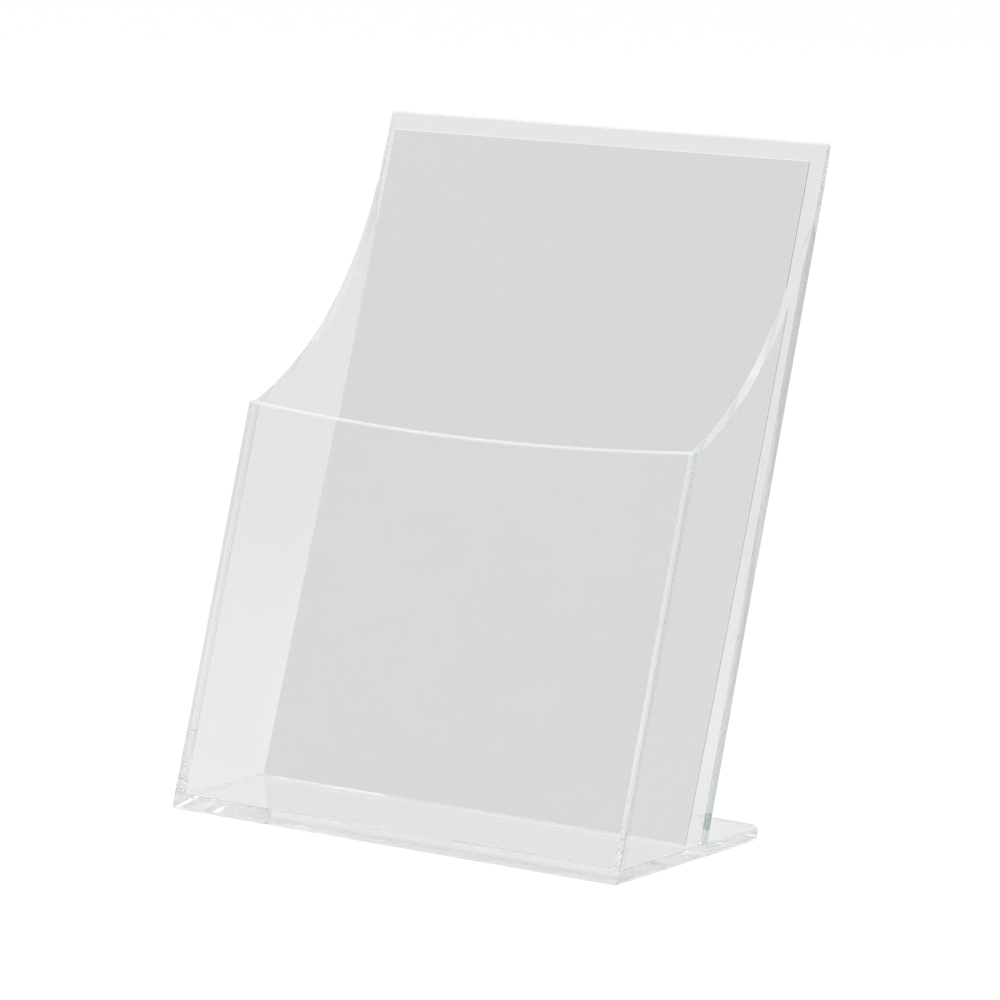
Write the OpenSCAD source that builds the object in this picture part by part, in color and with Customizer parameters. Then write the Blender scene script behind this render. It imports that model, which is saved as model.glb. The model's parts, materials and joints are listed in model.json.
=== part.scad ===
// Free-standing one-pocket magazine rack, cut from clear acrylic sheet and solvent-welded.
// A thick base plate carries a pocket of four thinner sheets that all lean back together,
// and a grey card insert stands in the pocket and lifts out of it.
//
// Row frame: +X to the reader's right, +Y to the back, +Z up, millimetres.
// The origin is on the underside, at the middle of the overall width and depth.
//
// Most sheets are drawn in the lean frame, which is the row frame tipped back about the front
// bottom edge. There Y counts from the pocket's outer front face towards the back (u), and Z
// counts up the slope (v).

/* [Rack] */
// Overall width, which is the width of the base, front and back sheets
rack_w = 221; // [200:1:300]
// Overall height, from the surface it stands on to the top edge of the back panel
rack_h = 300; // [290:1:360]
// How far the pocket leans back from upright, in degrees
lean = 15; // [8:0.5:20]

/* [Base plate] */
// Depth of the base plate, measured on its underside
base_d = 130; // [115:1:180]
// Thickness of the base plate
base_t = 6; // [4:0.5:10]
// Radius of the two rear corners of the base plate
base_corner_r = 9; // [2:0.5:20]

/* [Pocket] */
// Thickness of the front, back and side sheets
wall_t = 4; // [3:0.5:5]
// Inside depth of the pocket, square to its panels
pocket_d = 65; // [40:1:70]
// Height of the front panel's top corners above the surface
front_h = 175; // [120:1:200]
// How far the front panel's top edge dips at its middle
front_dip = 5; // [2:0.5:10]
// Distance from the back panel's top edge down to where the side walls' curve would touch it
curve_drop = 20; // [10:1:60]
// Width left at the blunt upper tip of each side wall
tip_w = 0.6; // [0.4:0.1:2]
// Radius of the back panel's two top corners
top_corner_r = 1.5; // [0.5:0.5:5]

/* [Card insert] */
// Width of the card, an A4 sheet
card_w = 210; // [148:1:210]
// Height of the card, an A4 sheet
card_h = 297; // [210:1:297]
// Thickness of the card
card_t = 1; // [0.5:0.1:2]
// How far the card's foot stands forward of the back panel, square to it
card_foot = 7; // [2:0.5:12]
// Clearance between the card and the floor, the back panel and the left side wall
card_gap = 0.3; // [0.3:0.1:1]

/* [Hidden] */
$fn = 180;

acrylic = [0.88, 0.90, 0.90, 0.45];
card_grey = [0.69, 0.69, 0.69];

// Distances back from the pocket's outer front face, in the lean frame
front_inner_u = wall_t;
back_front_u = wall_t + pocket_d;
back_rear_u = back_front_u + wall_t;

// Lengths up the slope, in the lean frame
front_top_v = front_h / cos(lean);
back_top_v = rack_h / cos(lean) + back_front_u * tan(lean);

// The side walls' curve is a circle that touches the back panel's face at curve_top_v
// and comes down to the front panel's top edge
curve_top_v = back_top_v - curve_drop;
curve_rise = curve_top_v - front_top_v;
curve_r = (pocket_d * pocket_d + curve_rise * curve_rise) / (2 * pocket_d);
tip_drop = sqrt(curve_r * curve_r - (curve_r - tip_w) * (curve_r - tip_w));

// The front panel's dipped top edge is a circle through its two top corners
dip_r = (rack_w * rack_w / 4 + front_dip * front_dip) / (2 * front_dip);

// Overall depth, from the base's front edge to the back panel's rear top edge
overall_d = back_rear_u * cos(lean) + back_top_v * sin(lean);

// The card leans a little further back than the panels, from its foot to the back panel
card_extra_lean = asin((card_foot - card_gap) / card_h);
card_foot_u = back_front_u - card_foot;
card_foot_z = base_t + card_gap;
card_foot_v = (card_foot_z + card_foot_u * sin(lean)) / cos(lean);
card_left_x = -rack_w / 2 + wall_t + card_gap;

// A length that reaches past the whole rack, for cutting
reach = 2 * (rack_w + rack_h);

// Puts the front bottom edge half the overall depth in front of the origin.
module placed() {
    translate([0, -overall_d / 2, 0]) children();
}

// Tips the lean frame's children back about the front bottom edge.
module leaning() {
    rotate([-lean, 0, 0]) children();
}

// Everything above the base plate's top face.
module above_base() {
    translate([-reach / 2, -reach / 2, base_t]) cube([reach, reach, reach]);
}

// A rectangle from x = -w/2 to w/2 and y = 0 to h whose two far corners are rounded.
module rounded_far_corners(w, h, r) {
    translate([-w / 2, 0]) square([w, h - r]);
    translate([-w / 2 + r, h - r]) square([w - 2 * r, r]);
    for (side = [-1, 1]) {
        translate([side * (w / 2 - r), h - r]) circle(r = r);
    }
}

// A flat sheet in the lean frame, with its front face at u, its given outline standing on
// v = 0, and its own thickness t towards the back.
module upright_sheet(u, t) {
    translate([0, u + t, 0]) rotate([90, 0, 0]) linear_extrude(height = t) children();
}

// The outline of a side wall in the lean frame, as (u, v) points.
module side_outline() {
    difference() {
        polygon([
            [front_inner_u, 0],
            [back_front_u, 0],
            [back_front_u, curve_top_v - tip_drop],
            [back_front_u - tip_w, curve_top_v - tip_drop],
            [front_inner_u, front_top_v]
        ]);
        translate([back_front_u - curve_r, curve_top_v]) circle(r = curve_r, $fn = 360);
    }
}

// A side wall whose outer face is at outer_x; toward is 1 if its thickness runs to +X.
module side_wall(outer_x, toward) {
    intersection() {
        above_base();
        leaning() translate([outer_x + (toward < 0 ? -wall_t : 0), 0, 0])
            rotate([90, 0, 90]) linear_extrude(height = wall_t) side_outline();
    }
}

// Thick floor of the rack. It runs out behind the pocket as a foot, and its front edge is
// machined to the same slope as the front panel.
module base_plate() {
    color(acrylic) placed() difference() {
        linear_extrude(height = base_t) rounded_far_corners(rack_w, base_d, base_corner_r);
        leaning() translate([-reach / 2, -reach, -reach / 2]) cube([reach, reach, reach]);
    }
}

// Full-height leaning sheet that carries whatever stands in the pocket.
module back_panel() {
    color(acrylic) placed() intersection() {
        above_base();
        leaning() upright_sheet(back_front_u, wall_t)
            rounded_far_corners(rack_w, back_top_v, top_corner_r);
    }
}

// Low front sheet with a dipped top edge.
module front_panel() {
    color(acrylic) placed() intersection() {
        above_base();
        leaning() difference() {
            upright_sheet(0, wall_t)
                translate([-rack_w / 2, 0]) square([rack_w, front_top_v]);
            translate([0, -wall_t, front_top_v - front_dip + dip_r])
                rotate([-90, 0, 0]) cylinder(r = dip_r, h = 3 * wall_t, $fn = 720);
        }
    }
}

// Side wall on the reader's left, between the front and back panels.
module left_side() {
    color(acrylic) placed() side_wall(-rack_w / 2, 1);
}

// Side wall on the reader's right, between the front and back panels.
module right_side() {
    color(acrylic) placed() side_wall(rack_w / 2, -1);
}

// Grey card that stands on the base against the back panel and lifts out of the pocket.
module card_insert() {
    color(card_grey) placed() leaning()
        translate([card_left_x, card_foot_u, card_foot_v]) rotate([-card_extra_lean, 0, 0])
            translate([0, -card_t, 0]) cube([card_w, card_t, card_h]);
}

base_plate();
back_panel();
front_panel();
left_side();
right_side();
card_insert();
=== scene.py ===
"""Studio model of a free-standing clear acrylic magazine rack with a grey card in its pocket.

Five sheets of clear cast acrylic are solvent-welded face to edge: a thick base plate that runs
out behind as a foot, a tall back panel, a low front panel with a dipped top edge, and two side
walls with a curved top edge. The card stands in the pocket and rides on its own body, so that
it can be lifted out.

Everything is in metres, in the row frame: +X to the reader's right, +Y to the back, +Z up. The
leaning sheets are drawn in the slope frame, whose axes are across (x), back (square to the
panels) and up (along the slope), with its origin at the middle of the front bottom edge.
"""

import json
import logging
import math
from dataclasses import dataclass, field
from enum import Enum
from typing import Any, Callable, Sequence

import bmesh
import bpy
from mathutils import Matrix, Vector


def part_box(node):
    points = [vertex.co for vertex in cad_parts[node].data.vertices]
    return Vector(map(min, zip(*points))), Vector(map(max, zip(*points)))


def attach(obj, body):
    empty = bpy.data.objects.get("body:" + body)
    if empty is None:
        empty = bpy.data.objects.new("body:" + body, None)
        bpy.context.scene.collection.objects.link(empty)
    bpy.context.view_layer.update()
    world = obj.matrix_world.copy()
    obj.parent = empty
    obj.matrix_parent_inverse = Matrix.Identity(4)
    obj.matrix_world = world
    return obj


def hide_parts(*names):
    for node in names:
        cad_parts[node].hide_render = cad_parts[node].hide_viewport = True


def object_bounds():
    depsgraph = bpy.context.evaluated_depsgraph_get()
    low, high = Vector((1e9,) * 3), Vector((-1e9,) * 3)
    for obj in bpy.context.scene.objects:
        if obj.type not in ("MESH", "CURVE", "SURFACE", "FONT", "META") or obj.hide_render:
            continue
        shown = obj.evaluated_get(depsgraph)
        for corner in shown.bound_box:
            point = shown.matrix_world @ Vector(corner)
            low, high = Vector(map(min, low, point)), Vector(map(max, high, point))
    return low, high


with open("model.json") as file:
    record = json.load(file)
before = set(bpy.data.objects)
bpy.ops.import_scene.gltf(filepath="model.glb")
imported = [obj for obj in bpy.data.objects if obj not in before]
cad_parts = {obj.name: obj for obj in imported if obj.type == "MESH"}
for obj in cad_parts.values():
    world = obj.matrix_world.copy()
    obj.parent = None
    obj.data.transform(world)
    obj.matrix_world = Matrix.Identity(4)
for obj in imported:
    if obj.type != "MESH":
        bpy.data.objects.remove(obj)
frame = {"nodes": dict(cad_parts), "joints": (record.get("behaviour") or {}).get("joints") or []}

Colour = tuple[float, float, float]
Pair = tuple[float, float]
Triple = tuple[float, float, float]

LOG = logging.getLogger("magazine_rack")
CAD_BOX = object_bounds()
MM = 0.001
QUARTER = math.pi / 2
ACRYLIC_IOR = 1.49
# Two directions are taken as one when the cosine between them is above this.
PARALLEL = 0.999
# Points nearer to each other than TOUCHING are one point, and a point nearer to a plane than
# ON_PLANE lies on it.
TOUCHING = 0.001 * MM
ON_PLANE = 0.0001 * MM
# Faces that meet at less than this are shaded as one surface.
CREASE = math.radians(8)
EASE_STEPS = 2
ROUNDING_STEPS = 4


class Slot(Enum):
    """The material slots of an acrylic sheet."""

    FACE = 0
    EDGE = 1
    WELD = 2
    RIM = 3


class Side(Enum):
    """The two sides of the rack, as the reader sees them."""

    LEFT = -1
    RIGHT = 1


class Body(Enum):
    """The bodies that the visible pieces move with."""

    RACK = "rack"
    INSERT = "insert"


# ---- Node trees ----


class Value:
    """A socket of a node tree on which Python's operators add Math nodes."""

    def __init__(self, graph: "Graph", socket: bpy.types.NodeSocket) -> None:
        """Wraps a socket.

        Args:
            graph: The tree that the socket belongs to.
            socket: The output socket.
        """
        self.graph = graph
        self.socket = socket

    def out(self, key: int | str) -> "Value":
        """Another output of the same node."""
        return Value(self.graph, self.socket.node.outputs[key])

    def maths(self, operation: str, *others: "Value | float") -> "Value":
        """Adds a Math node with this socket as its first input.

        Args:
            operation: The Math node's operation.
            others: What goes into its other inputs.

        Returns:
            The Math node's output.
        """
        inputs = dict(enumerate((self, *others)))
        return self.graph.add("ShaderNodeMath", {"operation": operation}, inputs)

    def _reflected(self, operation: str, other: "Value | float") -> "Value":
        """Adds a Math node with this socket as its second input."""
        return self.graph.add("ShaderNodeMath", {"operation": operation}, {0: other, 1: self})

    def __add__(self, other: "Value | float") -> "Value":
        """self + other."""
        return self.maths("ADD", other)

    def __radd__(self, other: float) -> "Value":
        """other + self."""
        return self._reflected("ADD", other)

    def __sub__(self, other: "Value | float") -> "Value":
        """self - other."""
        return self.maths("SUBTRACT", other)

    def __rsub__(self, other: float) -> "Value":
        """other - self."""
        return self._reflected("SUBTRACT", other)

    def __mul__(self, other: "Value | float") -> "Value":
        """self * other."""
        return self.maths("MULTIPLY", other)

    def __rmul__(self, other: float) -> "Value":
        """other * self."""
        return self._reflected("MULTIPLY", other)

    def __truediv__(self, other: "Value | float") -> "Value":
        """self / other."""
        return self.maths("DIVIDE", other)

    def __rtruediv__(self, other: float) -> "Value":
        """other / self."""
        return self._reflected("DIVIDE", other)


class Graph:
    """A node tree that is built by expressions."""

    def __init__(self, tree: bpy.types.NodeTree) -> None:
        """Wraps a tree."""
        self.tree = tree

    def add(
        self,
        kind: str,
        settings: dict[str, Any] | None = None,
        inputs: dict[int | str, Any] | None = None,
        output: int | str = 0,
    ) -> Value:
        """Adds one node.

        Args:
            kind: The node's type.
            settings: Its own settings, set first. A ramp's stops are (place, grey) pairs.
            inputs: What goes into its sockets: a Value or a list of them as links, anything
                else as a value.
            output: The output that is returned.

        Returns:
            The chosen output.
        """
        node = self.tree.nodes.new(kind)
        for name, setting in (settings or {}).items():
            if name == "stops":
                self._set_stops(node, setting)
            else:
                setattr(node, name, setting)
        for key, given in (inputs or {}).items():
            if isinstance(given, Value):
                self.tree.links.new(given.socket, node.inputs[key])
            elif isinstance(given, list):
                for one in given:
                    self.tree.links.new(one.socket, node.inputs[key])
            else:
                node.inputs[key].default_value = given
        return Value(self, node.outputs[output]) if node.outputs else Value(self, None)

    @staticmethod
    def _set_stops(node: bpy.types.Node, stops: Sequence[Pair]) -> None:
        """Sets a ramp's stops from (place, grey) pairs."""
        ramp = node.color_ramp
        while len(ramp.elements) < len(stops):
            ramp.elements.new(1.0)
        for element, (place, grey) in zip(ramp.elements, stops):
            element.position = place
            element.color = (grey, grey, grey, 1.0)


class ShaderGraph(Graph):
    """A material's or the world's node tree, with the nodes that the finishes share."""

    def __init__(self, owner: bpy.types.Material | bpy.types.World) -> None:
        """Empties the owner's tree and wraps it."""
        owner.use_nodes = True
        owner.node_tree.nodes.clear()
        super().__init__(owner.node_tree)

    def place(self, stretch: Sequence[float] = (1, 1, 1), turn: Sequence[float] = (0, 0, 0)) -> Value:
        """The object's own coordinates, in metres, stretched and turned."""
        return self.add(
            "ShaderNodeMapping", {"vector_type": "POINT"},
            {
                "Vector": self.add("ShaderNodeTexCoord", output="Object"),
                "Rotation": tuple(turn),
                "Scale": tuple(stretch),
            },
        )

    def noise(self, lumps: Sequence[float], detail: float, turn: Sequence[float] = (0, 0, 0)) -> Value:
        """A noise pattern from 0 to 1.

        Args:
            lumps: Its lumps per metre along each axis.
            detail: Its octaves.
            turn: The turn about each axis, in radians.

        Returns:
            The pattern.
        """
        inputs = {"Vector": self.place(lumps, turn), "Scale": 1.0, "Detail": detail}
        return self.add("ShaderNodeTexNoise", inputs=inputs)

    def ramp(self, value: Value, *stops: Pair) -> Value:
        """A value passed through a ramp of (place, grey) stops."""
        return self.add("ShaderNodeValToRGB", {"stops": stops}, {0: value})

    def blend(self, factor: Value, low: Sequence[float], high: Sequence[float]) -> Value:
        """A colour between two colours."""
        inputs = {"Factor": factor, 6: (*low, 1.0), 7: (*high, 1.0)}
        return self.add("ShaderNodeMix", {"data_type": "RGBA"}, inputs, output=2)

    def bump(self, height: Value, depth: float) -> Value:
        """The normal of a relief that is depth metres high where height is 1."""
        inputs = {"Height": height, "Distance": depth, "Strength": 1.0}
        return self.add("ShaderNodeBump", inputs=inputs)

    def mix(self, factor: Value | float, first: Value, second: Value) -> Value:
        """A Mix Shader."""
        return self.add("ShaderNodeMixShader", inputs={0: factor, 1: first, 2: second})

    def open_to(self, seen: Value, straight: Value, *rays: str) -> Value:
        """A surface that some kinds of ray pass straight through.

        Args:
            seen: What every other ray meets.
            straight: What the rays pass through.
            rays: The rays, as the Light Path node names them.

        Returns:
            The shader.
        """
        path = self.add("ShaderNodeLightPath")
        for ray in rays:
            seen = self.mix(path.out(f"Is {ray} Ray"), seen, straight)
        return seen

    def finish(self, shader: Value, kind: str = "ShaderNodeOutputMaterial") -> None:
        """Connects the output."""
        self.add(kind, inputs={"Surface": shader})


# ---- Finishes ----


@dataclass(frozen=True)
class Finish:
    """A finish that makes its own material.

    Attributes:
        name: The material's name.
    """

    name: str

    def build(self) -> bpy.types.Material:
        """Makes the material."""
        material = bpy.data.materials.new(self.name)
        graph = ShaderGraph(material)
        graph.finish(self.surface(graph))
        return material

    def surface(self, graph: ShaderGraph) -> Value:
        """Adds the finish's nodes and returns its shader."""
        raise NotImplementedError


@dataclass(frozen=True)
class ClearAcrylic(Finish):
    """Polished clear acrylic.

    Attributes:
        tint: What a surface lets through.
        wave_depth: The height of the slow waves left by casting or flame polishing, in metres.
        waves: Waves per metre.
        scratch: How much rougher a hairline scratch is.
        roughness: The roughness of a clean surface.
        smear: How much rougher a handled patch is.
        haze: The share of light that fine tool marks scatter.
    """

    tint: Colour
    wave_depth: float
    waves: float
    scratch: float
    roughness: float
    smear: float
    haze: float

    def surface(self, graph: ShaderGraph) -> Value:
        """Waves, scratches and smears on clear glass.

        Lamps and diffuse light pass straight through, so that what stands in the pocket is lit
        as through real sheet.

        Args:
            graph: The material's graph.

        Returns:
            The shader.
        """
        waves = graph.noise((self.waves,) * 3, 1.0)
        hairs = graph.noise((900, 60, 40), 3.0, (0.3, 0.2, 0.5))
        cross_hairs = graph.noise((50, 700, 35), 3.0, (0.1, 0.7, 0.2))
        scratches = graph.ramp(hairs, (0.62, 0.0), (0.74, 1.0)) + graph.ramp(
            cross_hairs, (0.63, 0.0), (0.75, 1.0)
        )
        handled = graph.ramp(graph.noise((9, 9, 9), 3.0), (0.45, 0.0), (0.75, 1.0))
        normal = graph.bump(waves, self.wave_depth)
        glass = graph.add(
            "ShaderNodeBsdfGlass",
            inputs={
                "Color": (*self.tint, 1.0),
                "Roughness": self.roughness + handled * self.smear + scratches * self.scratch,
                "IOR": ACRYLIC_IOR,
                "Normal": normal,
            },
        )
        if self.haze:
            white = graph.add(
                "ShaderNodeBsdfDiffuse", inputs={"Color": (0.93, 0.96, 0.965, 1.0), "Normal": normal}
            )
            glass = graph.mix(self.haze * (0.6 + 0.8 * waves), glass, white)
        straight = graph.add("ShaderNodeBsdfTransparent", inputs={"Color": (*self.tint, 1.0)})
        return graph.open_to(glass, straight, "Diffuse", "Shadow")


@dataclass(frozen=True)
class SolventWeld(Finish):
    """The joint between two sheets, where the acrylic runs on without a surface.

    Attributes:
        flecks: Unbonded flecks per metre.
        fleck_share: How much of a fleck's surface is unbonded.
    """

    flecks: float = 420.0
    fleck_share: float = 0.85

    def surface(self, graph: ShaderGraph) -> Value:
        """Nothing to see but small flecks that the solvent missed."""
        pattern = graph.noise((self.flecks,) * 3, 1.0)
        flecks = graph.ramp(pattern, (0.70, 0.0), (0.74, 1.0)) * self.fleck_share
        bonded = graph.add("ShaderNodeBsdfTransparent")
        missed = graph.add(
            "ShaderNodeBsdfPrincipled",
            inputs={
                "Base Color": (0.93, 0.95, 0.95, 1.0),
                "Roughness": pattern * 0.2,
                "IOR": ACRYLIC_IOR,
                "Transmission Weight": 1.0,
            },
        )
        return graph.open_to(graph.mix(flecks, bonded, missed), bonded, "Shadow")


@dataclass(frozen=True)
class TrappedAir(Finish):
    """A bubble of air inside the acrylic: glass turned inside out."""

    def surface(self, graph: ShaderGraph) -> Value:
        """A slightly uneven skin between the acrylic and the air."""
        skin = graph.noise((2500, 2500, 2500), 2.0)
        air = graph.add(
            "ShaderNodeBsdfGlass",
            inputs={"Color": (0.97, 0.99, 1.0, 1.0), "Roughness": skin * 0.1, "IOR": 1 / ACRYLIC_IOR},
        )
        straight = graph.add("ShaderNodeBsdfTransparent", inputs={"Color": (0.9, 0.9, 0.9, 1.0)})
        return graph.open_to(air, straight, "Shadow")


@dataclass(frozen=True)
class GreyCard(Finish):
    """Matt grey display card.

    Attributes:
        light: The grey of the lighter fibres.
        dark: The grey of the darker fibres.
        tooth: The depth of the paper's grain, in metres.
    """

    light: float
    dark: float
    tooth: float

    def surface(self, graph: ShaderGraph) -> Value:
        """Fine fibres, a faint cloudiness and a paper tooth."""
        along = graph.noise((700, 700, 2600), 4.0, (0.26, 0.0, 0.5))
        across = graph.noise((2600, 700, 700), 4.0, (0.26, 0.3, 0.0))
        cloud = graph.noise((22, 22, 22), 3.0)
        fibres = (along + across) * 0.4 + cloud * 0.2
        share = graph.ramp(fibres, (0.35, 0.0), (0.65, 1.0))
        return graph.add(
            "ShaderNodeBsdfPrincipled",
            inputs={
                "Base Color": graph.blend(share, [self.dark] * 3, [self.light] * 3),
                "Roughness": 0.68 + cloud * 0.18,
                "Specular IOR Level": 0.3,
                "Normal": graph.bump(fibres, self.tooth),
            },
        )


@dataclass(frozen=True)
class StudioPaper(Finish):
    """Pale seamless paper under and round the rack, which glows though it is no lamp, with a painted
    pool of light in its glow round the rack.

    Attributes:
        bare: Its albedo and its glow for camera rays: painted light that makes the paper evenly bright
            where nothing stands before it.
        painted_dim_copy: Its albedo and a dimmer glow for all other rays, as seen through the rack, in
            reflections and as bounce light: a painted shaded copy of the same paper.
        pool: How far from the rack the painted pool of light starts to fade and has faded.
        lit: The colour of the painted glow inside the pool.
        unlit: The colour of the painted glow outside it.
    """

    bare: Pair = (0.15, 0.95)
    painted_dim_copy: Pair = (0.08, 0.755)
    pool: Pair = (0.25, 1.0)
    lit: Colour = (0.995, 1.0, 0.985)
    unlit: Colour = (0.915, 0.92, 0.905)

    def surface(self, graph: ShaderGraph) -> Value:
        """A brighter painted copy of the paper for the camera and a darker painted copy for everything
        else.
        """
        grain = graph.noise((900, 900, 900), 2.0)
        length = {"operation": "LENGTH"}
        reach = graph.add("ShaderNodeVectorMath", length, {0: graph.place()}, output="Value")
        # The painted pool of light: the glow colour is brightest near the rack and dims further out.
        pool = graph.ramp(reach, (self.pool[0], 1.0), (self.pool[1], 0.0))
        painted_pool_glow = graph.blend(pool, self.unlit, self.lit)
        looks = [
            graph.add(
                "ShaderNodeBsdfPrincipled",
                inputs={
                    "Base Color": graph.blend(
                        grain, [0.98 * albedo] * 3, [albedo, albedo, albedo * 0.995]
                    ),
                    "Roughness": 0.9,
                    "Specular IOR Level": 0.1,
                    "Emission Color": painted_pool_glow,
                    "Emission Strength": glow,
                },
            )
            for albedo, glow in (self.painted_dim_copy, self.bare)
        ]
        return graph.open_to(*looks, "Camera")


@dataclass(frozen=True)
class SheetFinishes:
    """The finishes of one kind of sheet, with one material for each Slot.

    Attributes:
        name: The sheet's name.
        face_tint: What its broad faces let through, and what each bounce inside it keeps.
        edge_tint: What its edges let through.
        roughness: The roughness of its edges.
        haze: The share of light that its edges scatter.
    """

    name: str
    face_tint: Colour
    edge_tint: Colour
    roughness: float
    haze: float

    def slots(self) -> list[bpy.types.Material]:
        """Makes the materials in the order of Slot."""
        edge_waves = (self.edge_tint, 0.004 * MM, 30)
        return [
            ClearAcrylic(
                self.name + "_face", self.face_tint, 0.006 * MM, 14,
                scratch=0.01, roughness=0.0, smear=0.01, haze=0.0,
            ).build(),
            ClearAcrylic(
                self.name + "_edge", *edge_waves,
                scratch=0.4 * self.roughness, roughness=self.roughness,
                smear=0.6 * self.roughness, haze=self.haze,
            ).build(),
            SolventWeld(self.name + "_weld").build(),
            ClearAcrylic(
                self.name + "_rim", *edge_waves, scratch=0.03, roughness=0.04, smear=0.04, haze=0.45
            ).build(),
        ]


# ---- Sizes ----


@dataclass(frozen=True)
class Slope:
    """The slope frame: across, back and up, tipped about the front bottom edge.

    Attributes:
        lean: The angle from upright, in radians.
        front_y: Where the front bottom edge lies in the row frame.
    """

    lean: float
    front_y: float

    @property
    def matrix(self) -> Matrix:
        """The matrix from the slope frame to the row frame."""
        return Matrix.Translation((0, self.front_y, 0)) @ Matrix.Rotation(-self.lean, 4, "X")

    def place_of(self, point: Vector) -> Vector:
        """A row-frame point in the slope frame."""
        return self.matrix.inverted() @ point

    def span(self, node: str, axis: int) -> Pair:
        """How far a CAD node reaches along one axis of the slope frame.

        Args:
            node: The CAD node's name.
            axis: 0 across, 1 back, 2 up.

        Returns:
            Its lowest and highest place.
        """
        places = [self.place_of(v.co)[axis] for v in frame["nodes"][node].data.vertices]
        return min(places), max(places)

    def back_at(self, back: float, height: float) -> float:
        """The row frame's y of a sheet face, at a height above the surface.

        Args:
            back: The face's distance back, square to the panels.
            height: The height in the row frame.

        Returns:
            The y coordinate.
        """
        return self.front_y + height * math.tan(self.lean) + back / math.cos(self.lean)


@dataclass(frozen=True)
class RackSizes:
    """The rack's sizes, read from the frame.

    Attributes:
        slope: The slope frame.
        half_width: Half the overall width.
        base_top: The base plate's thickness.
        base_back: The y of the base plate's rear edge.
        wall: The thickness of the pocket's sheets.
        back_front: How far back the back panel's front face lies.
        back_rear: How far back its rear face lies.
        front_top: How far up the front panel's top corners lie.
        back_top: How far up the back panel's top edge lies.
        curve_drop: From the back panel's top down to where the side walls' curve would touch it.
        tip_width: What is left of a side wall at its blunt tip.
        front_dip: The dip of the front panel's top edge.
        base_corner: The radius of the base plate's rear corners.
        top_corner: The radius of the back panel's top corners.
        arris: The width of the eased corners along the welds.
        rounding: The flame-polished rounding of the free edges.
        tip_trim: How far down from its tip a side wall is trimmed away on the inside.
    """

    slope: Slope
    half_width: float
    base_top: float
    base_back: float
    wall: float
    back_front: float
    back_rear: float
    front_top: float
    back_top: float
    curve_drop: float = 20 * MM
    tip_width: float = 0.6 * MM
    front_dip: float = 5 * MM
    base_corner: float = 9 * MM
    top_corner: float = 1.5 * MM
    arris: float = 0.25 * MM
    rounding: float = 1.5 * MM
    tip_trim: float = 23 * MM

    @classmethod
    def from_frame(cls) -> "RackSizes":
        """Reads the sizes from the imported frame."""
        axis = frame["joints"][0]["axis"]
        slope = Slope(math.atan2(axis[1], axis[2]), CAD_BOX[0].y)
        base_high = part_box("base_plate")[1]
        back_front, back_rear = slope.span("back_panel", 1)
        return cls(
            slope=slope,
            half_width=base_high.x,
            base_top=base_high.z,
            base_back=base_high.y,
            wall=slope.span("front_panel", 1)[1],
            back_front=back_front,
            back_rear=back_rear,
            front_top=slope.span("front_panel", 2)[1],
            back_top=slope.span("back_panel", 2)[1],
        )

    @property
    def curve_top(self) -> float:
        """How far up the side walls' curve would touch the back panel."""
        return self.back_top - self.curve_drop

    @property
    def curve_radius(self) -> float:
        """The radius of the side walls' curve."""
        depth, rise = self.back_front - self.wall, self.curve_top - self.front_top
        return (depth**2 + rise**2) / (2 * depth)

    @property
    def tip_top(self) -> float:
        """How far up a side wall's blunt tip lies."""
        inner = self.curve_radius - self.tip_width
        return self.curve_top - math.sqrt(self.curve_radius**2 - inner**2)

    def trim(self, side: Side) -> Matrix:
        """The frame of the slanting cut that brings a side wall's tip to a point.

        Args:
            side: Which wall.

        Returns:
            The matrix to the row frame. The cut starts at its origin on the wall's inner face
            and rises along its Z. Its X looks into what stays of the wall.
        """
        rise = Vector((side.value * self.wall, 0, self.tip_trim)).normalized()
        stays = Vector((side.value * rise.z, 0, -abs(rise.x)))
        start = (side.value * (self.half_width - self.wall), self.back_front)
        turned = Matrix((
            (stays.x, 0, rise.x, start[0]),
            (0, 1, 0, start[1]),
            (stays.z, 0, rise.z, self.tip_top - self.tip_trim),
            (0, 0, 0, 1),
        ))
        return self.slope.matrix @ turned

    @property
    def dip_radius(self) -> float:
        """The radius of the front panel's dipped top edge."""
        return (self.half_width**2 + self.front_dip**2) / (2 * self.front_dip)


# ---- Meshes ----


def add_object(name: str, data: bpy.types.ID) -> bpy.types.Object:
    """Makes an object in the scene, at the origin."""
    made = bpy.data.objects.new(name, data)
    bpy.context.scene.collection.objects.link(made)
    return made


def plain_mesh(name: str, source: bmesh.types.BMesh) -> bpy.types.Mesh:
    """Turns an edit mesh into a mesh and frees it."""
    mesh = bpy.data.meshes.new(name)
    source.to_mesh(mesh)
    source.free()
    return mesh


def shaded_object(
    name: str, source: bmesh.types.BMesh, materials: Sequence[bpy.types.Material],
    crease: float = CREASE,
) -> bpy.types.Object:
    """Makes an object of an edit mesh, with materials and smooth shading.

    Args:
        name: Its name.
        source: The edit mesh.
        materials: The materials of its slots.
        crease: The angle from which an edge is shaded sharp.

    Returns:
        The object.
    """
    mesh = plain_mesh(name, source)
    for material in materials:
        mesh.materials.append(material)
    mesh.shade_smooth()
    mesh.set_sharp_from_angle(angle=crease)
    return add_object(name, mesh)


def settle(
    piece: bpy.types.Object, body: Body, node: str | None = None
) -> bpy.types.Object:
    """Makes a finished piece part of the model.

    Args:
        piece: The piece.
        body: The body that it moves with.
        node: The CAD node that it stands for, if any.

    Returns:
        The piece.
    """
    if node is not None:
        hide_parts(node)
    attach(piece, body.value)
    LOG.info(
        "%s rides on %s: %d vertices, %d faces",
        piece.name, body.value, len(piece.data.vertices), len(piece.data.polygons),
    )
    return piece


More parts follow.
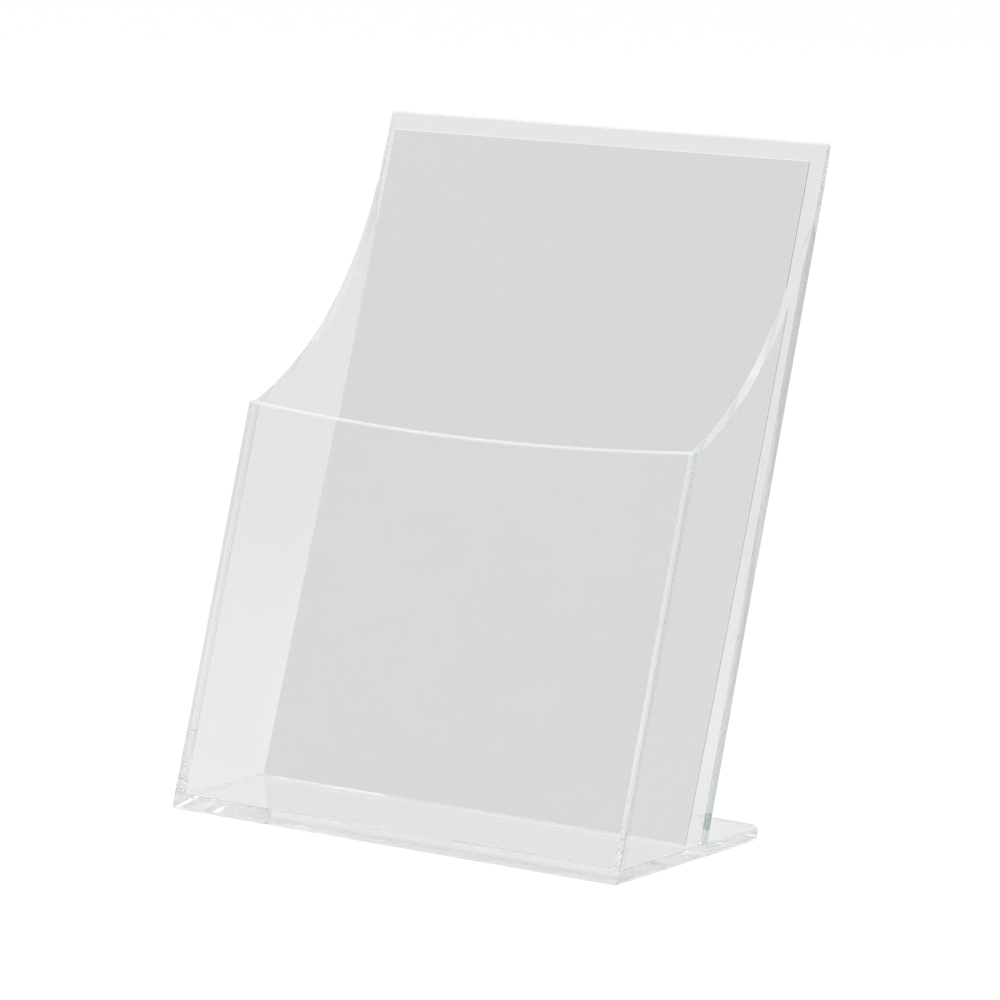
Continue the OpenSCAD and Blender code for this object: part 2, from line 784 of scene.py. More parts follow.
class MeshTree:
    """A Geometry Nodes tree that is run once and leaves a plain mesh."""

    NAME = "mesh_tree"
    INPUTS: dict[str, str] = {}

    def __init__(self) -> None:
        """Builds the tree."""
        self.tree = bpy.data.node_groups.new(self.NAME, "GeometryNodeTree")
        sockets = self.tree.interface
        self.identifiers = {
            name: sockets.new_socket(name=name, in_out="INPUT", socket_type=kind).identifier
            for name, kind in self.INPUTS.items()
        }
        sockets.new_socket(name="Geometry", in_out="OUTPUT", socket_type="NodeSocketGeometry")
        graph = Graph(self.tree)
        given = graph.add("NodeGroupInput")
        real = graph.add("GeometryNodeRealizeInstances", inputs={"Geometry": self.shape(graph, given)})
        dressed = graph.add(
            "GeometryNodeSetMaterial",
            inputs={"Geometry": real, "Material": given.out("Material")},
        )
        graph.add("NodeGroupOutput", inputs={"Geometry": dressed})

    def shape(self, graph: Graph, given: Value) -> Value:
        """Adds the tree's own nodes.

        Args:
            graph: The tree's graph.
            given: The group's inputs.

        Returns:
            The geometry.
        """
        raise NotImplementedError

    def bake(self, name: str, source: bpy.types.Mesh | None = None, **values: Any) -> bpy.types.Mesh:
        """Runs the tree and returns its result as a plain mesh.

        Args:
            name: The mesh's name.
            source: The mesh that the tree starts from, if any.
            values: The inputs, with underscores for the spaces in their names.

        Returns:
            The mesh.
        """
        carrier = add_object(name + "_carrier", source or bpy.data.meshes.new(name + "_seed"))
        modifier = carrier.modifiers.new(name, "NODES")
        modifier.node_group = self.tree
        for key, value in values.items():
            modifier[self.identifiers[key.replace("_", " ")]] = value
        carrier.update_tag()
        bpy.context.view_layer.update()
        evaluated = carrier.evaluated_get(bpy.context.evaluated_depsgraph_get())
        mesh = bpy.data.meshes.new_from_object(evaluated)
        mesh.name = name
        carrier.modifiers.remove(modifier)
        bpy.data.objects.remove(carrier)
        return mesh


class ArchedSheetTree(MeshTree):
    """A flat sheet whose top edge is an arc of a circle.

    The sheet stands on up = 0 in its own frame: X across, Y up, Z through its thickness. The
    columns follow the arc at even angles, and the last one is a narrow flat, the blunt tip.
    """

    NAME = "arched_sheet"
    INPUTS = {
        "Start": "NodeSocketFloat",
        "End": "NodeSocketFloat",
        "Centre Across": "NodeSocketFloat",
        "Centre Up": "NodeSocketFloat",
        "Radius": "NodeSocketFloat",
        "Blunt End": "NodeSocketFloat",
        "Thickness": "NodeSocketFloat",
        "Columns": "NodeSocketInt",
        "Material": "NodeSocketMaterial",
    }

    def shape(self, graph: Graph, given: Value) -> Value:
        """Bends a grid's columns to the arc and gives the outline its thickness."""
        start, end = given.out("Start"), given.out("End")
        centre, radius = given.out("Centre Across"), given.out("Radius")
        columns = given.out("Columns")
        grid = graph.add(
            "GeometryNodeMeshGrid",
            inputs={"Size X": 1.0, "Size Y": 1.0, "Vertices X": columns + 2.0, "Vertices Y": 2},
        )
        place = graph.add("GeometryNodeInputPosition")
        parts = graph.add("ShaderNodeSeparateXYZ", inputs={0: place})
        share, rise = parts.out("X") + 0.5, parts.out("Y") + 0.5

        # The last column repeats the angle of the one before it, moved on by the blunt end.
        step = share * (columns + 1.0) / columns
        is_tip = step.maths("GREATER_THAN", 1.0 + 1e-4)
        along = step.maths("MINIMUM", 1.0)
        first = ((start - centre) / radius).maths("ARCCOSINE")
        last = ((end - centre) / radius).maths("ARCCOSINE")
        angle = first + (last - first) * along
        across = centre + radius * angle.maths("COSINE") + is_tip * given.out("Blunt End")
        top = given.out("Centre Up") - radius * angle.maths("SINE")
        moved = graph.add("ShaderNodeCombineXYZ", inputs={"X": across, "Y": rise * top})
        outline = graph.add(
            "GeometryNodeSetPosition", inputs={"Geometry": grid, "Position": moved}
        )

        # A sheet is its flat outline, turned over, and the same outline raised by the thickness.
        offset = graph.add("ShaderNodeCombineXYZ", inputs={"Z": given.out("Thickness")})
        raised = graph.add(
            "GeometryNodeExtrudeMesh", {"mode": "FACES"},
            {"Mesh": outline, "Offset": offset, "Offset Scale": 1.0, "Individual": False},
        )
        under = graph.add("GeometryNodeFlipFaces", inputs={"Mesh": outline})
        joined = graph.add("GeometryNodeJoinGeometry", inputs={"Geometry": [raised, under]})
        return graph.add(
            "GeometryNodeMergeByDistance", inputs={"Geometry": joined, "Distance": TOUCHING}
        )


class BubbleTree(MeshTree):
    """Small bubbles, scattered over a mesh of weld strips."""

    NAME = "scattered_bubbles"
    INPUTS = {
        "Geometry": "NodeSocketGeometry",
        "Bubbles Per Area": "NodeSocketFloat",
        "Least Radius": "NodeSocketFloat",
        "Most Radius": "NodeSocketFloat",
        "Seed": "NodeSocketInt",
        "Material": "NodeSocketMaterial",
    }

    def shape(self, graph: Graph, given: Value) -> Value:
        """Sets balls of many small and few large radii on random points."""
        points = graph.add(
            "GeometryNodeDistributePointsOnFaces", {"distribute_method": "RANDOM"},
            {
                "Mesh": given.out("Geometry"),
                "Density": given.out("Bubbles Per Area"),
                "Seed": given.out("Seed"),
            },
        )
        ball = graph.add("GeometryNodeMeshIcoSphere", inputs={"Radius": 1.0, "Subdivisions": 2})
        round_ball = graph.add("GeometryNodeSetShadeSmooth", inputs={"Geometry": ball})
        luck = graph.add(
            "FunctionNodeRandomValue", {"data_type": "FLOAT"},
            {2: 0.0, 3: 1.0, "Seed": given.out("Seed")}, output=1,
        )
        least = given.out("Least Radius")
        radius = least + (given.out("Most Radius") - least) * luck.maths("POWER", 3.0)
        return graph.add(
            "GeometryNodeInstanceOnPoints",
            inputs={"Points": points, "Instance": round_ball, "Scale": radius},
        )


def arc_points(centre: Pair, radius: float, start: float, end: float, steps: int) -> list[Pair]:
    """Points along an arc, both ends included.

    Args:
        centre: The arc's centre.
        radius: Its radius.
        start: The first point's angle, in radians.
        end: The last point's angle.
        steps: How many steps lie between them.

    Returns:
        The points.
    """
    angles = [start + (end - start) * step / steps for step in range(steps + 1)]
    return [(centre[0] + radius * math.cos(a), centre[1] + radius * math.sin(a)) for a in angles]


def rounded_outline(
    half_width: float, low: float, high: float, radius: float, steps: int
) -> list[Pair]:
    """A rectangle, anticlockwise, whose two far corners are rounded.

    Args:
        half_width: Half its width.
        low: Its near side.
        high: Its far side.
        radius: The radius of the far corners.
        steps: The steps of each corner.

    Returns:
        The outline's points.
    """
    right = arc_points((half_width - radius, high - radius), radius, 0, QUARTER, steps)
    left = arc_points((radius - half_width, high - radius), radius, QUARTER, 2 * QUARTER, steps)
    return [(-half_width, low), (half_width, low), *right, *left]


# ---- Sheets ----


@dataclass(frozen=True)
class Contact:
    """A patch of a sheet's surface that is welded to another sheet.

    Attributes:
        space: The frame that the patch is given in, as a matrix to the row frame.
        facing: The way the surface faces, in that frame.
        low: The patch's lowest corner in that frame.
        high: Its highest corner.
        slack: How far a face's middle may lie outside it.
    """

    space: Matrix
    facing: Triple
    low: Triple
    high: Triple
    slack: float = 0.05 * MM

    def faces_its_way(self, face: bmesh.types.BMFace) -> bool:
        """True if a face looks the patch's way."""
        return face.normal.dot(self.space.to_3x3() @ Vector(self.facing)) > PARALLEL

    def cut(self, mesh: bmesh.types.BMesh) -> None:
        """Cuts the surface along the patch's borders."""
        for axis in range(3):
            if self.facing[axis]:
                continue
            for corner in (self.low, self.high):
                around = [face for face in mesh.faces if self.faces_its_way(face)]
                edges = {edge for face in around for edge in face.edges}
                verts = {vert for face in around for vert in face.verts}
                normal = Vector((0, 0, 0))
                normal[axis] = 1
                bmesh.ops.bisect_plane(
                    mesh, geom=[*around, *edges, *verts], dist=ON_PLANE,
                    plane_co=self.space @ Vector(corner), plane_no=self.space.to_3x3() @ normal,
                )

    def covers(self, face: bmesh.types.BMFace) -> bool:
        """True if a face lies in the patch."""
        middle = self.space.inverted() @ face.calc_center_median()
        return self.faces_its_way(face) and all(
            low - self.slack < place < high + self.slack
            for low, place, high in zip(self.low, middle, self.high)
        )


class CutSheet:
    """One piece cut from flat sheet: a closed prism with eased edges."""

    CORNER = math.radians(25)
    RIM_FLATNESS = 0.1

    def __init__(self, name: str, mesh: bmesh.types.BMesh, place: Matrix) -> None:
        """Puts a closed mesh in its place.

        Args:
            name: The piece's name.
            mesh: The mesh, in the sheet's own frame, whose Z runs through its thickness.
            place: The matrix from that frame to the row frame.
        """
        self.name = name
        self.mesh = mesh
        self.broad = place.to_3x3() @ Vector((0, 0, 1))
        bmesh.ops.transform(mesh, matrix=place, verts=mesh.verts)

    @classmethod
    def from_outline(
        cls, name: str, outline: Sequence[Pair], thickness: float, place: Matrix
    ) -> "CutSheet":
        """Makes a sheet from a flat outline.

        Args:
            name: The piece's name.
            outline: The outline, anticlockwise in the sheet's own X and Y.
            thickness: How far it reaches along its own Z.
            place: The matrix from the sheet's own frame to the row frame.

        Returns:
            The sheet.
        """
        mesh = bmesh.new()
        near = [mesh.verts.new((x, y, 0)) for x, y in outline]
        far = [mesh.verts.new((x, y, thickness)) for x, y in outline]
        mesh.faces.new(reversed(near))
        mesh.faces.new(far)
        for i in range(len(outline)):
            j = (i + 1) % len(outline)
            mesh.faces.new((near[i], near[j], far[j], far[i]))
        sheet = cls(name, mesh, place)
        bmesh.ops.recalc_face_normals(mesh, faces=mesh.faces)
        return sheet

    @classmethod
    def from_mesh(cls, name: str, source: bpy.types.Mesh, place: Matrix) -> "CutSheet":
        """Makes a sheet from a baked mesh, whose flat sides become single faces."""
        mesh = bmesh.new()
        mesh.from_mesh(source)
        sheet = cls(name, mesh, place)
        bmesh.ops.remove_doubles(mesh, verts=mesh.verts, dist=TOUCHING)
        bmesh.ops.dissolve_limit(
            mesh, angle_limit=math.radians(0.05), verts=mesh.verts, edges=mesh.edges
        )
        bmesh.ops.recalc_face_normals(mesh, faces=mesh.faces)
        return sheet

    def _bisect(self, point: Vector, normal: Vector, clear: bool) -> list[Any]:
        """Cuts the mesh with a plane and returns the parts that lie on the cut."""
        geometry = [*self.mesh.verts, *self.mesh.edges, *self.mesh.faces]
        return bmesh.ops.bisect_plane(
            self.mesh, geom=geometry, dist=ON_PLANE, plane_co=point, plane_no=normal,
            clear_outer=clear,
        )["geom_cut"]

    def cut_away(self, point: Vector, normal: Vector) -> None:
        """Cuts off what lies on the normal's side of a plane and closes the cut.

        Args:
            point: A point on the plane.
            normal: The side that is cut off.
        """
        cut = self._bisect(point, normal, clear=True)
        rim = [part for part in cut if isinstance(part, bmesh.types.BMEdge)]
        bmesh.ops.contextual_create(self.mesh, geom=rim)
        bmesh.ops.recalc_face_normals(self.mesh, faces=self.mesh.faces)

    def cut_across(self, point: Vector, normal: Vector) -> None:
        """Adds edges where a plane crosses the sheet."""
        self._bisect(point, normal, clear=False)

    def ease_edges(self, width: float) -> None:
        """Eases every sharp edge. The easing stays part of the edge."""
        self._bevel(width, EASE_STEPS, Slot.EDGE, lambda point: True)

    def round_edges(self, width: float, chosen: Callable[[Vector], bool]) -> None:
        """Rounds sharp edges to a rim.

        Args:
            width: The rounding's width.
            chosen: Says of a point, in the row frame, whether edges that end there are meant.
                An edge is rounded if both its ends are chosen.
        """
        self._bevel(width, ROUNDING_STEPS, Slot.RIM, chosen)

    def _bevel(
        self, width: float, steps: int, slot: Slot, chosen: Callable[[Vector], bool]
    ) -> None:
        """Bevels the chosen sharp edges and gives the new faces a slot."""
        sharp = [
            edge for edge in self.mesh.edges
            if edge.is_manifold and edge.calc_face_angle() > self.CORNER
            and all(chosen(vert.co) for vert in edge.verts)
        ]
        rounded = bmesh.ops.bevel(
            self.mesh, geom=sharp, offset=width, offset_type="OFFSET", segments=steps,
            profile=0.5, affect="EDGES", clamp_overlap=True,
        )
        for face in rounded["faces"]:
            face.material_index = slot.value

    def mark(self, patches: Sequence[Contact]) -> None:
        """Gives every face its material slot.

        Args:
            patches: The patches that are welded to other sheets.
        """
        for patch in patches:
            patch.cut(self.mesh)
        for face in self.mesh.faces:
            flatness = abs(face.normal.dot(self.broad))
            if any(patch.covers(face) for patch in patches):
                face.material_index = Slot.WELD.value
            elif flatness > PARALLEL:
                face.material_index = Slot.FACE.value
            elif face.material_index != Slot.RIM.value or flatness < self.RIM_FLATNESS:
                face.material_index = Slot.EDGE.value


# ---- The rack ----


@dataclass
class AcrylicRack:
    """The welded rack of five clear sheets.

    Attributes:
        sizes: Its sizes.
        thin: The materials of the four pocket sheets, in the order of Slot.
        thick: The materials of the base plate.
        corner_steps: Steps of a rounded corner.
        columns: Columns along a curved edge.
        weld_inset: How far below the rounding of the front panel's top its side welds end.
        far: A length that reaches past the whole rack.
        arches: The tree that makes the sheets with a curved top.
    """

    sizes: RackSizes
    thin: list[bpy.types.Material]
    thick: list[bpy.types.Material]
    corner_steps: int = 16
    columns: int = 72
    weld_inset: float = 0.5 * MM
    far: float = 1.0
    arches: ArchedSheetTree = field(default_factory=ArchedSheetTree)

    def build(self) -> None:
        """Builds and dresses the five sheets."""
        base = self.base_plate()
        settle(shaded_object(base.name, base.mesh, self.thick), Body.RACK, "base_plate")
        for node, sheet in (
            ("back_panel", self.back_panel()),
            ("front_panel", self.front_panel()),
            ("left_side", self.side_wall(Side.LEFT)),
            ("right_side", self.side_wall(Side.RIGHT)),
        ):
            piece = shaded_object(sheet.name, sheet.mesh, self.thin)
            settle(piece, Body.RACK, node)

    def base_plate(self) -> CutSheet:
        """The thick floor, with rounded rear corners and a front edge cut to the slope."""
        size = self.sizes
        outline = rounded_outline(
            size.half_width, size.slope.front_y, size.base_back, size.base_corner,
            self.corner_steps,
        )
        sheet = CutSheet.from_outline(
            "base_plate_sheet", outline, size.base_top, Matrix.Identity(4)
        )
        forward = size.slope.matrix.to_3x3() @ Vector((0, -1, 0))
        sheet.cut_away(Vector((0, size.slope.front_y, 0)), forward)
        sheet.round_edges(size.rounding, lambda point: point.z < size.arris)
        behind = size.slope.back_at(size.back_rear, size.base_top)
        sheet.cut_across(Vector((0, behind, 0)), Vector((0, 1, 0)))
        sheet.round_edges(size.rounding, lambda point: point.y > behind - size.arris)
        sheet.ease_edges(size.arris)
        sheet.mark(self._base_contacts())
        return sheet

    def back_panel(self) -> CutSheet:
        """The full-height leaning sheet."""
        size, far, ease = self.sizes, self.far, self.sizes.arris
        outline = rounded_outline(
            size.half_width, 0.0, size.back_top, size.top_corner, self.corner_steps
        )
        sheet = CutSheet.from_outline(
            "back_panel_sheet", outline, size.wall, self._upright(size.back_rear)
        )
        tips = [
            Contact(size.trim(side), (0, -1, 0), (ease, -far, 0), (far, far, far)) for side in Side
        ]
        strips = self._strip_contacts(-1, size.back_front, size.tip_top - size.tip_trim + ease)
        free = size.back_top - 2 * size.top_corner
        return self._finish_leaning(sheet, [*strips, *tips], lambda place: place.z > free)

    def front_panel(self) -> CutSheet:
        """The low front sheet with its dipped top edge."""
        size = self.sizes
        baked = self.arches.bake(
            "front_panel_arch",
            Start=-size.half_width, End=size.half_width, Centre_Across=0.0,
            Centre_Up=size.front_top - size.front_dip + size.dip_radius,
            Radius=size.dip_radius, Blunt_End=0.0, Thickness=size.wall,
            Columns=self.columns, Material=self.thin[Slot.FACE.value],
        )
        sheet = CutSheet.from_mesh("front_panel_sheet", baked, self._upright(size.wall))
        top = size.front_top - size.rounding - self.weld_inset
        free = size.front_top - 2 * size.front_dip
        return self._finish_leaning(
            sheet, self._strip_contacts(1, size.wall, top), lambda place: place.z > free
        )

    def side_wall(self, side: Side) -> CutSheet:
        """A side wall with its concave curved top edge."""
        size, name = self.sizes, side.name.lower()
        baked = self.arches.bake(
            name + "_side_arch",
            Start=size.wall, End=size.back_front - size.tip_width,
            Centre_Across=size.back_front - size.curve_radius, Centre_Up=size.curve_top,
            Radius=size.curve_radius, Blunt_End=size.tip_width, Thickness=size.wall,
            Columns=self.columns, Material=self.thin[Slot.FACE.value],
        )
        near_x = -size.half_width if side is Side.LEFT else size.half_width - size.wall
        sideways = Matrix(((0, 0, 1, near_x), (1, 0, 0, 0), (0, 1, 0, 0), (0, 0, 0, 1)))
        sheet = CutSheet.from_mesh(name + "_side_sheet", baked, size.slope.matrix @ sideways)
        trim = size.trim(side)
        sheet.cut_away(trim.translation, trim.to_3x3() @ Vector((-1, 0, 0)))
        contacts = [self._whole_face(size.slope.matrix, (0, way, 0)) for way in (-1, 1)]
        low, back = size.front_top - size.arris, size.back_front - 3 * size.rounding
        return self._finish_leaning(
            sheet, contacts, lambda place: place.z > low and place.y < back
        )

    def _upright(self, rear: float) -> Matrix:
        """The place of a full-width leaning sheet whose rear face is at rear.

        Its own Z, and so its thickness, runs forwards from there.
        """
        turned = Matrix(((1, 0, 0, 0), (0, 0, -1, rear), (0, 1, 0, 0), (0, 0, 0, 1)))
        return self.sizes.slope.matrix @ turned

    def _finish_leaning(
        self, sheet: CutSheet, contacts: list[Contact], free: Callable[[Vector], bool]
    ) -> CutSheet:
        """Cuts a leaning sheet off at the base plate, eases it and marks its welds.

        Args:
            sheet: The sheet.
            contacts: Its welds to the other leaning sheets.
            free: Says of a point in the slope frame whether it is on a free, rounded edge.

        Returns:
            The sheet.
        """
        size = self.sizes
        sheet.cut_away(Vector((0, 0, size.base_top)), Vector((0, 0, -1)))
        sheet.round_edges(size.rounding, lambda point: free(size.slope.place_of(point)))
        sheet.ease_edges(size.arris)
        sheet.mark([self._whole_face(Matrix.Identity(4), (0, 0, -1)), *contacts])
        return sheet

    def _whole_face(self, space: Matrix, facing: Triple) -> Contact:
        """A weld over everything that faces one way."""
        return Contact(space, facing, (-self.far,) * 3, (self.far,) * 3)

    def _strip_contacts(self, way: int, back: float, top: float) -> list[Contact]:
        """The strips of a full-width panel that the two side walls are welded to.

        Args:
            way: 1 if the welded face looks back, -1 if it looks forwards.
            back: How far back that face lies.
            top: How far up the strips reach.

        Returns:
            One contact for each side wall.
        """
        size, ease = self.sizes, self.sizes.arris
        inner, outer = size.half_width - size.wall + ease, size.half_width - ease
        return [
            Contact(size.slope.matrix, (0, way, 0), (low, back, -self.far), (high, back, top - ease))
            for low, high in ((-outer, -inner), (inner, outer))
        ]

    def _base_contacts(self) -> list[Contact]:
        """The strips of the base plate's top that the four leaning sheets stand on."""
        size, ease = self.sizes, self.sizes.arris
        rows = [
            size.slope.back_at(back, size.base_top)
            for back in (0, size.wall, size.back_front, size.back_rear)
        ]
        outer, inner = size.half_width - ease, size.half_width - size.wall + ease
        spans = [
            (-outer, outer, rows[0], rows[1]),
            (-outer, outer, rows[2], rows[3]),
            (-outer, -inner, rows[1], rows[2]),
            (inner, outer, rows[1], rows[2]),
        ]
        return [
            Contact(
                Matrix.Identity(4), (0, 0, 1),
                (left, front + ease, size.base_top), (right, back - ease, size.base_top),
            )
            for left, right, front, back in spans
        ]


@dataclass
class WeldBubbles:
    """Small bubbles that the solvent left in the welds.

    Attributes:
        sizes: The rack's sizes.
        material: The bubbles' material.
        inset: How far the bubbles stay inside the edges of a weld.
        per_area: Bubbles per square metre of weld.
        least: The smallest radius.
        most: The largest radius.
        seed: The seed of the scatter.
    """

    sizes: RackSizes
    material: bpy.types.Material
    inset: float = 0.9 * MM
    per_area: float = 9000.0
    least: float = 0.08 * MM
    most: float = 0.42 * MM
    seed: int = 7

    def build(self) -> None:
        """Scatters the bubbles and makes them one piece."""
        mesh = BubbleTree().bake(
            "weld_bubbles", self._strips(), Bubbles_Per_Area=self.per_area,
            Least_Radius=self.least, Most_Radius=self.most, Seed=self.seed,
            Material=self.material,
        )
        settle(add_object("weld_bubbles", mesh), Body.RACK)

    def _strips(self) -> bpy.types.Mesh:
        """The middle strips of the welds, as a mesh of rectangles."""
        size, inset, slope = self.sizes, self.inset, self.sizes.slope
        mesh = bmesh.new()
        outer, inner = size.half_width - inset, size.half_width - size.wall + inset
        for side in Side:
            for back, top in ((size.wall, size.front_top), (size.back_front, size.tip_top)):
                foot = (size.base_top + back * math.sin(slope.lean)) / math.cos(slope.lean)
                corners = [
                    (side.value * x, back, up)
                    for x, up in (
                        (inner, foot + inset), (outer, foot + inset),
                        (outer, top - inset), (inner, top - inset),
                    )
                ]
                mesh.faces.new([mesh.verts.new(slope.matrix @ Vector(c)) for c in corners])
        for back in (0, size.back_front):
            low = slope.back_at(back, size.base_top) + inset
            high = slope.back_at(back + size.wall, size.base_top) - inset
            corners = [(-outer, low), (outer, low), (outer, high), (-outer, high)]
            mesh.faces.new([mesh.verts.new((x, y, size.base_top)) for x, y in corners])
        return plain_mesh("weld_strips", mesh)


# ---- The card ----


@dataclass
class CardInsert:
    """The grey card that stands in the pocket, bowed a little under its own weight.

    Attributes:
        face: The material of its two faces.
        cut: The material of its cut edges, which show the white core.
        worn: The material of its right edge, a darker grey that is painted shade on the cut that faces
            away from the key light.
        bow: How far its middle sags towards the back panel.
        corner: The radius of its corners.
        corner_steps: Steps of a rounded corner.
        easing: The softening of its edges, as a share of its thickness.
        bands: The number of bands along its height.
        flatness: A face that looks less than this much the way of the broad faces is an edge.
        turn_right: An edge that looks more than this much to the right gets the painted shade.
    """

    face: bpy.types.Material
    cut: bpy.types.Material
    worn: bpy.types.Material
    bow: float = 1.0 * MM
    corner: float = 0.4 * MM
    corner_steps: int = 5
    easing: float = 0.3
    bands: int = 32
    flatness: float = 0.9
    turn_right: float = 0.3

    def build(self) -> None:
        """Builds the card in the place of its CAD node."""
        place, width, height, thickness = self._measure()
        mesh = self._slab(width, height, thickness)
        for vert in mesh.verts:
            share = min(max(vert.co.y / height, 0.0), 1.0)
            vert.co.z -= self.bow * 4 * share * (1 - share)
        bmesh.ops.transform(mesh, matrix=place, verts=mesh.verts)
        bmesh.ops.recalc_face_normals(mesh, faces=mesh.faces)
        broad = place.to_3x3() @ Vector((0, 0, 1))
        materials = [self.face, self.cut, self.worn]
        for face in mesh.faces:
            if abs(face.normal.dot(broad)) < self.flatness:
                # Edges that face right, away from the key light, get the darker painted shade.
                edge = self.worn if face.normal.x > self.turn_right else self.cut
                face.material_index = materials.index(edge)
        piece = shaded_object("grey_card", mesh, materials)
        settle(piece, Body.INSERT, "card_insert")

    @staticmethod
    def _measure() -> tuple[Matrix, float, float, float]:
        """Reads the card's place and size from its CAD node.

        Returns:
            The matrix from the card's own frame (X across, Y up, Z towards the reader, with its
            origin at its lower left rear corner) to the row frame, then its width, height and
            thickness.
        """
        points = [vertex.co.copy() for vertex in frame["nodes"]["card_insert"].data.vertices]
        low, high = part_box("card_insert")
        foot_rear = min(points, key=lambda point: point.z)
        top_rear = max(points, key=lambda point: point.y)
        foot_front = min(points, key=lambda point: point.y)
        rise = Vector((0, top_rear.y - foot_rear.y, top_rear.z - foot_rear.z))
        through = Vector((0, foot_front.y - foot_rear.y, foot_front.z - foot_rear.z))
        up, towards = rise.normalized(), through.normalized()
        place = Matrix((
            (1, 0, 0, low.x),
            (0, up.y, towards.y, foot_rear.y),
            (0, up.z, towards.z, foot_rear.z),
            (0, 0, 0, 1),
        ))
        return place, high.x - low.x, rise.length, through.length

    def _slab(self, width: float, height: float, thickness: float) -> bmesh.types.BMesh:
        """A flat card with rounded corners and soft edges, cut into bands."""
        r, right, top = self.corner, width - self.corner, height - self.corner
        outline = [
            point
            for turn, centre in ((2, (r, r)), (3, (right, r)), (0, (right, top)), (1, (r, top)))
            for point in arc_points(
                centre, r, turn * QUARTER, (turn + 1) * QUARTER, self.corner_steps
            )
        ]
        sheet = CutSheet.from_outline("grey_card", outline, thickness, Matrix.Identity(4))
        sheet.ease_edges(thickness * self.easing)
        for band in range(1, self.bands):
            sheet.cut_across(Vector((0, height * band / self.bands, 0)), Vector((0, 1, 0)))
        return sheet.mesh


# ---- The studio ----


@dataclass(frozen=True)
class SoftBox:
    """A square studio light.

    Attributes:
        name: Its name.
        place: Where it hangs, in metres.
        size: Its side.
        power: Its power in watts.
    """

    name: str
    place: Triple
    size: float
    power: float

    def build(self, target: Vector) -> None:
        """Hangs the light so that it looks at a point."""
        lamp = bpy.data.lights.new(self.name, "AREA")
        lamp.shape = "SQUARE"
        lamp.size = self.size
        lamp.energy = self.power
        holder = add_object(self.name, lamp)
        holder.location = self.place
        away = Vector(self.place) - target
        holder.rotation_mode = "QUATERNION"
        holder.rotation_quaternion = away.to_track_quat("Z", "Y")


@dataclass(frozen=True)
class PaperSweep:
    """The round sheet of paper, whose rim curls up out of sight.

    Attributes:
        radius: Its radius at the rim.
        rim: How high the rim rises.
        curl: The radius of the curl between the floor and the rim.
        curl_steps: Steps of the curl.
        turns: Its sides.
        air_gap: The gap under the base plate.
        crease: The angle from which an edge is shaded sharp.
    """

    radius: float = 7.0
    rim: float = 0.9
    curl: float = 0.8
    curl_steps: int = 8
    turns: int = 96
    air_gap: float = 0.25 * MM
    crease: float = math.radians(30)

    def build(self) -> None:
        """Makes the paper."""
        flat = self.radius - self.curl
        profile = [
            (flat + self.curl * math.sin(a), self.curl * (1 - math.cos(a)))
            for a in (QUARTER * step / self.curl_steps for step in range(self.curl_steps + 1))
        ]
        profile.append((self.radius, self.rim))
        angles = [2 * math.pi * i / self.turns for i in range(self.turns)]
        mesh = bmesh.new()
        rings = [
            [
                mesh.verts.new((radius * math.cos(a), radius * math.sin(a), height - self.air_gap))
                for a in angles
            ]
            for radius, height in profile
        ]
        mesh.faces.new(rings[0])
        for lower, upper in zip(rings, rings[1:]):
            for i in range(self.turns):
                j = (i + 1) % self.turns
                mesh.faces.new((lower[i], lower[j], upper[j], upper[i]))
        paper = StudioPaper("studio_paper").build()
        shaded_object("studio_paper", mesh, [paper], self.crease)


@dataclass(frozen=True)
class ProductCamera:
    """The camera, at the viewing angle of a product picture from the front right.

    Attributes:
        unit: The rack's width, which the camera's place is given in.
        azimuth: How far it stands to the right, in degrees.
        elevation: How far it looks down, in degrees.
        roll: How far it is rolled, in degrees.
        distance: Its distance from the target, in rack widths.
        shift: Its offset to its own right and up, in rack widths.
        target: What it circles, in rack widths from the middle of the front bottom edge.
        lens: Its focal length in millimetres on a 36 mm sensor.
    """

    unit: float = 0.221
    azimuth: float = 30.65
    elevation: float = 7.38
    roll: float = 2.85
    distance: float = 8.592
    shift: Pair = (0.0041, 0.0335)
    target: Triple = (0.0, 0.35, 0.6)
    lens: float = 158.88

    def build(self) -> None:
        """Makes the camera."""
        turn, dip, roll = (math.radians(a) for a in (self.azimuth, self.elevation, self.roll))
        level = Vector((math.cos(turn), math.sin(turn), 0))
        outwards = Vector((math.sin(turn), -math.cos(turn), 0))
        back = outwards * math.cos(dip) + Vector((0, 0, math.sin(dip)))
        above = back.cross(level)
        right = math.cos(roll) * level + math.sin(roll) * above
        up = math.cos(roll) * above - math.sin(roll) * level
        away = self.shift[0] * right + self.shift[1] * up + self.distance * back
        place = (Vector(self.target) + away) * self.unit + Vector((0, CAD_BOX[0].y, 0))
        lens = bpy.data.cameras.new("camera")
        lens.lens = self.lens
        lens.sensor_width = 36.0
        lens.clip_start, lens.clip_end = 0.05, 50.0
        camera = add_object("camera", lens)
        camera.matrix_world = Matrix((
            (right.x, up.x, back.x, place.x),
            (right.y, up.y, back.y, place.y),
            (right.z, up.z, back.z, place.z),
            (0, 0, 0, 1),
        ))
        bpy.context.scene.camera = camera


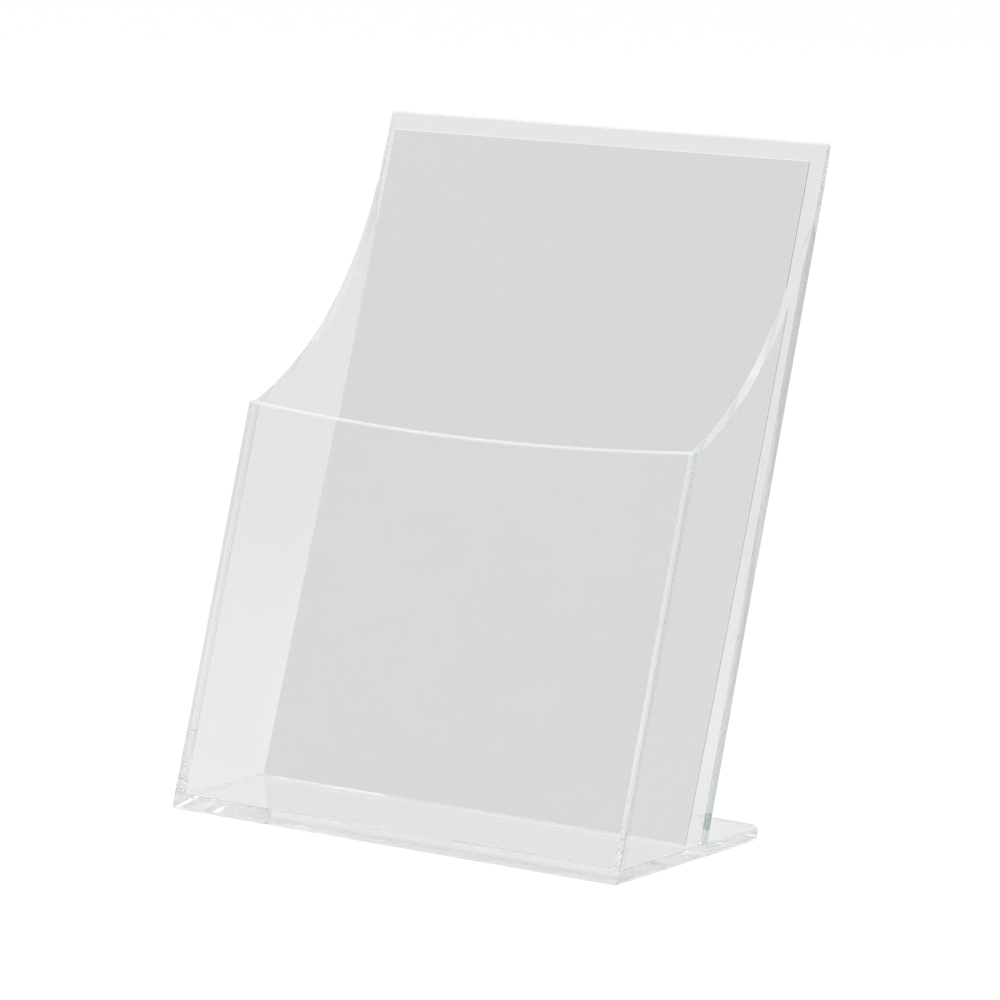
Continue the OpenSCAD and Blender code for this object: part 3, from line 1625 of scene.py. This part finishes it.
@dataclass
class Studio:
    """Seamless paper, soft light and the camera.

    Attributes:
        bounces: How often light may bounce, enough to run along a sheet from edge to edge.
        looked_at: The point that the lights look at.
    """

    bounces: int = 256
    looked_at: Triple = (0, 0, 0.12)

    def build(self) -> None:
        """Sets up the whole studio."""
        self.colour_management()
        self.world()
        PaperSweep().build()
        for box in (
            SoftBox("key_light", (-1.9, -1.0, 2.5), 2.4, 18.0),
            SoftBox("top_light", (0.2, 0.2, 2.8), 2.8, 16.0),
        ):
            box.build(Vector(self.looked_at))
        ProductCamera().build()

    def colour_management(self) -> None:
        """Plain colours, and enough bounces for light that runs along a sheet."""
        scene = bpy.context.scene
        scene.view_settings.view_transform = "Standard"
        scene.view_settings.look = "None"
        for kind in ("max", "transmission", "glossy", "transparent_max"):
            setattr(scene.cycles, kind + "_bounces", self.bounces)

    @staticmethod
    def world() -> None:
        """A pale tent, brightest overhead and darker to the right and behind the camera.

        Seen directly, past the paper's rim, it is plain white.
        """
        world = bpy.data.worlds.new("tent")
        bpy.context.scene.world = world
        graph = ShaderGraph(world)
        way = graph.add("ShaderNodeTexCoord", output="Generated")
        parts = graph.add("ShaderNodeSeparateXYZ", inputs={0: way})
        height = graph.ramp(parts.out("Z"), (0.0, 0.78), (0.35, 0.86), (1.0, 1.0))
        side = parts.out("X") * 0.85 - parts.out("Y") * 0.5
        level = height * graph.ramp(side, (0.55, 1.0), (0.95, 0.62))
        tent, white = (
            graph.add("ShaderNodeBackground", inputs={"Color": (1, 1, 1, 1), "Strength": strength})
            for strength in (level, 1.0)
        )
        graph.finish(graph.open_to(tent, white, "Camera"), "ShaderNodeOutputWorld")


# ---- Putting it together ----


def main() -> None:
    """Builds the rack, its card and the studio."""
    logging.basicConfig(level=logging.INFO, format="%(name)s: %(message)s")
    sizes = RackSizes.from_frame()
    Studio().build()
    thin = SheetFinishes(
        "thin_sheet", face_tint=(0.9955, 0.997, 0.997), edge_tint=(0.935, 0.948, 0.951),
        roughness=0.002, haze=0.0,
    )
    thick = SheetFinishes(
        "thick_sheet", face_tint=(0.998, 0.998, 0.997), edge_tint=(0.978, 0.978, 0.973),
        roughness=0.08, haze=0.12,
    )
    AcrylicRack(sizes, thin.slots(), thick.slots()).build()
    WeldBubbles(sizes, TrappedAir("trapped_air").build()).build()
    CardInsert(
        face=GreyCard("card_face", 0.73, 0.70, 0.02 * MM).build(),
        cut=GreyCard("card_white_core", 0.93, 0.88, 0.06 * MM).build(),
        # The right edge's darker grey is painted shade.
        worn=GreyCard("card_worn_edge", 0.50, 0.42, 0.06 * MM).build(),
    ).build()


if __name__ == "__main__":
    main()
